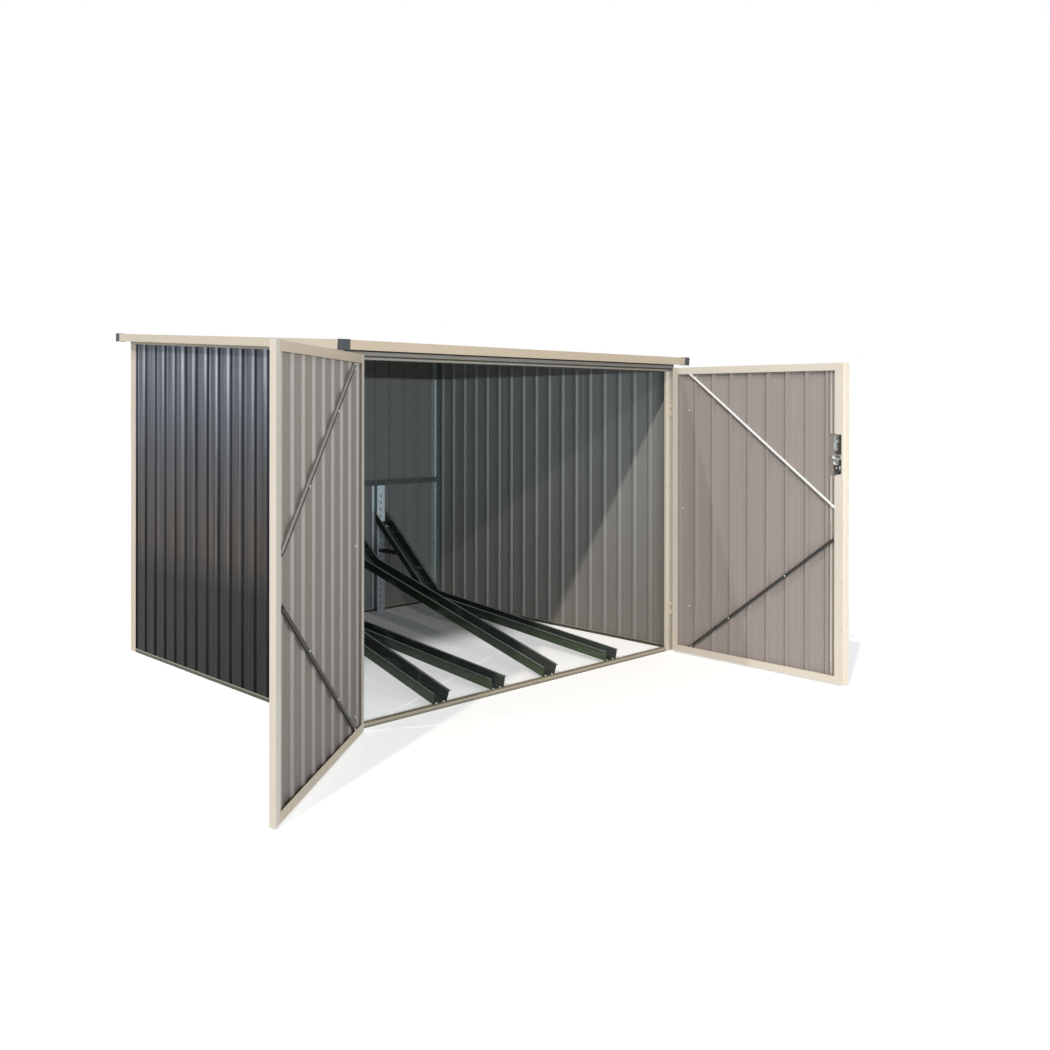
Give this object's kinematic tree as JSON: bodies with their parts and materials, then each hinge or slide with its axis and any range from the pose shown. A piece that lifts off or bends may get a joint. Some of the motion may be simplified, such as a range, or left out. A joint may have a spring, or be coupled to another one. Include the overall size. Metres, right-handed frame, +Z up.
{
  "type": "bicycle shelter",
  "caption": "Free-standing metal bicycle shelter with ribbed sheet walls, a gently sloping roof, hinged double doors and sloping wheel channels inside.",
  "frame": {"origin": "on the ground at the middle of the doorway, in the plane of the front frame", "axes": "+X to the right along the doorway side seen from outside, +Y towards the back wall, +Z up"},
  "size_m": [3.288, 3.4924, 1.9099],
  "materials": {
    "sheet": "satin dark grey coated steel sheet",
    "trim": "satin cream coated steel",
    "cap": "dark grey moulded plastic",
    "rack": "dark green coated steel",
    "galvanised": "galvanised steel",
    "zinc": "bright zinc plated steel"
  },
  "bodies": {
    "shelter": {"left_wall": "sheet", "right_wall": "sheet", "back_wall": "sheet", "roof_sheets": "sheet", "front_fascia": "trim", "rear_fascia": "trim", "left_fascia": "trim", "right_fascia": "trim", "corner_caps": "cap", "front_left_post": "trim", "front_right_post": "trim", "rear_left_post": "trim", "rear_right_post": "trim", "front_sill": "trim", "front_header": "trim", "left_base": "trim", "right_base": "trim", "back_base": "trim", "left_top": "trim", "right_top": "trim", "back_top": "trim", "back_girt": "galvanised", "wheel_track_1": "rack", "wheel_track_2": "rack", "wheel_track_3": "rack", "wheel_track_4": "rack", "wheel_cradle_1": "rack", "wheel_cradle_2": "rack", "wheel_cradle_3": "rack", "wheel_cradle_4": "rack", "rack_posts": "galvanised", "rack_struts": "rack", "frame_hinges": "zinc"},
    "left_door": {"left_panel": "sheet", "left_stiles": "trim", "left_rails": "trim", "left_braces": "galvanised", "left_hinges": "zinc"},
    "right_door": {"right_panel": "sheet", "right_stiles": "trim", "right_rails": "trim", "right_braces": "galvanised", "right_hinges": "zinc", "right_latch": "zinc"}
  },
  "joints": [
    {"name": "left_door_hinge", "type": "hinge", "parent": "shelter", "child": "left_door", "pos_m": [-1.146, -0.03, 0.857], "axis": [0, 0, -1], "range_deg": [-141.3, 33.7]},
    {"name": "right_door_hinge", "type": "hinge", "parent": "shelter", "child": "right_door", "pos_m": [1.146, -0.03, 0.857], "axis": [0, 0, 1], "range_deg": [-90, 85]}
  ]
}
